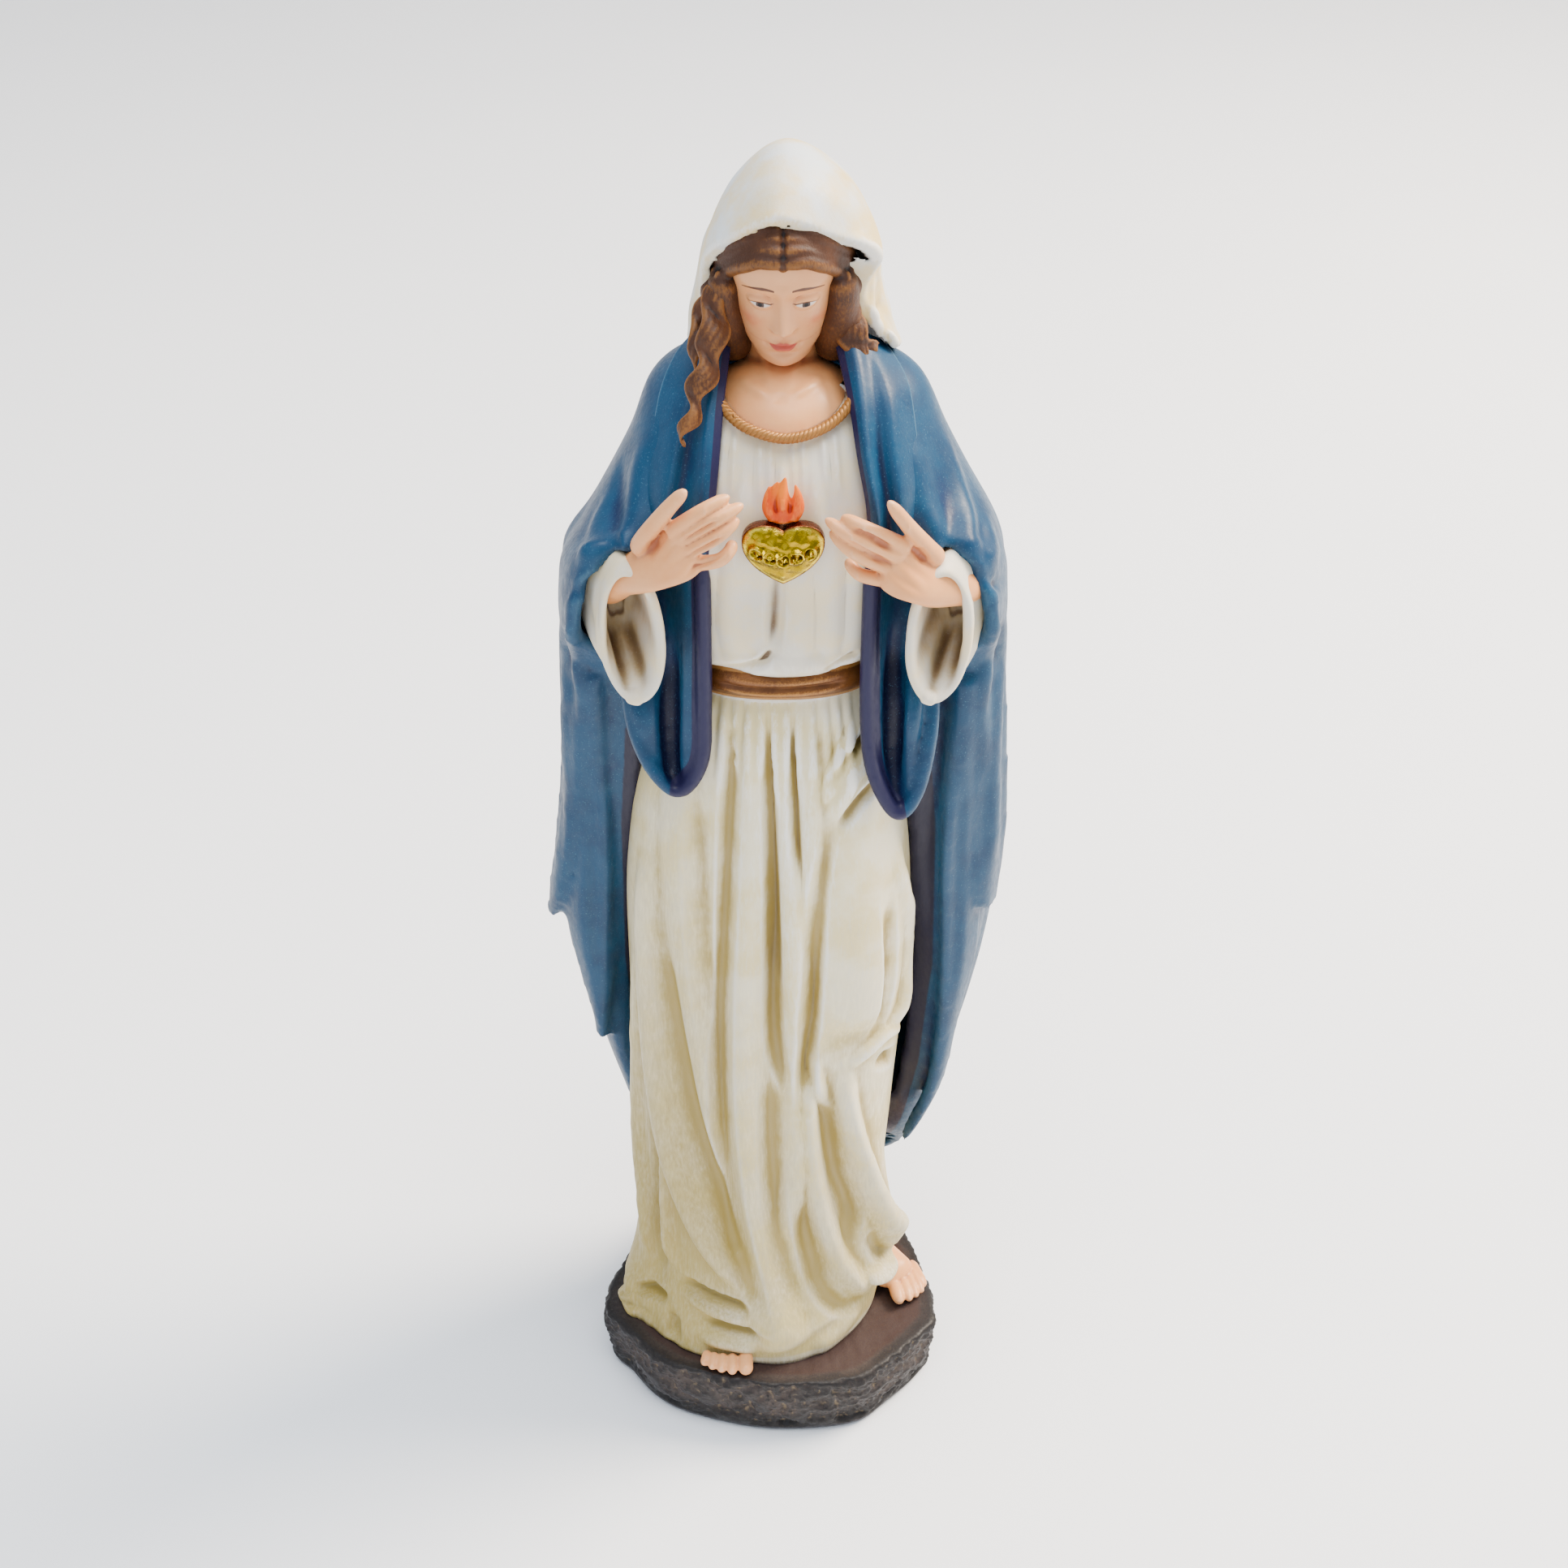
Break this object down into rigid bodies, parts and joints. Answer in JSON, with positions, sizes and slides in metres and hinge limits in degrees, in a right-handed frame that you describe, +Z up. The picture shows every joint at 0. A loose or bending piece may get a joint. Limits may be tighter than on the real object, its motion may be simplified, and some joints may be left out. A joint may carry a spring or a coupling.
{
  "type": "madonna statue",
  "caption": "Standing devotional figure in veil, mantle and gown, hands to a heart emblem, on a rock base with a felt pad.",
  "frame": {"origin": "point on the felt pad's underside, straight below the figure's own axis", "axes": "+Z up through the crown of the veil, -Y the way the figure faces, -X towards her right hand"},
  "size_m": [0.071, 0.0551, 0.2103],
  "materials": {
    "felt": "needled felt",
    "rock_paint": "painted cast resin, dry-brushed",
    "skin_paint": "painted cast resin, satin",
    "gold_foil": "gold foil over a cast heart",
    "flame_paint": "painted cast resin, gloss",
    "bronze_paint": "bronze paint on cast resin",
    "hair_paint": "painted cast resin, washed",
    "gown_paint": "painted cast resin, antiqued",
    "veil_paint": "painted cast resin, dry-brushed",
    "mantle_paint": "painted cast resin, antiqued satin"
  },
  "bodies": {
    "root": {"felt_pad": "felt", "base_slab": "rock_paint", "foot_right": "skin_paint", "foot_left": "skin_paint", "heart_emblem": "gold_foil", "flame": "flame_paint", "hand_right": "skin_paint", "hand_left": "skin_paint", "neckline_trim": "bronze_paint", "head": "skin_paint", "hair_crown": "hair_paint", "hair_lock_right": "hair_paint", "hair_bunch_left": "hair_paint", "belt": "bronze_paint", "skirt": "gown_paint", "bodice": "gown_paint", "veil": "veil_paint", "sleeve_right": "gown_paint", "sleeve_left": "gown_paint", "lapel_right": "mantle_paint", "lapel_left": "mantle_paint", "drape_right": "mantle_paint", "drape_left": "mantle_paint", "mantle": "mantle_paint"}
  },
  "joints": []
}
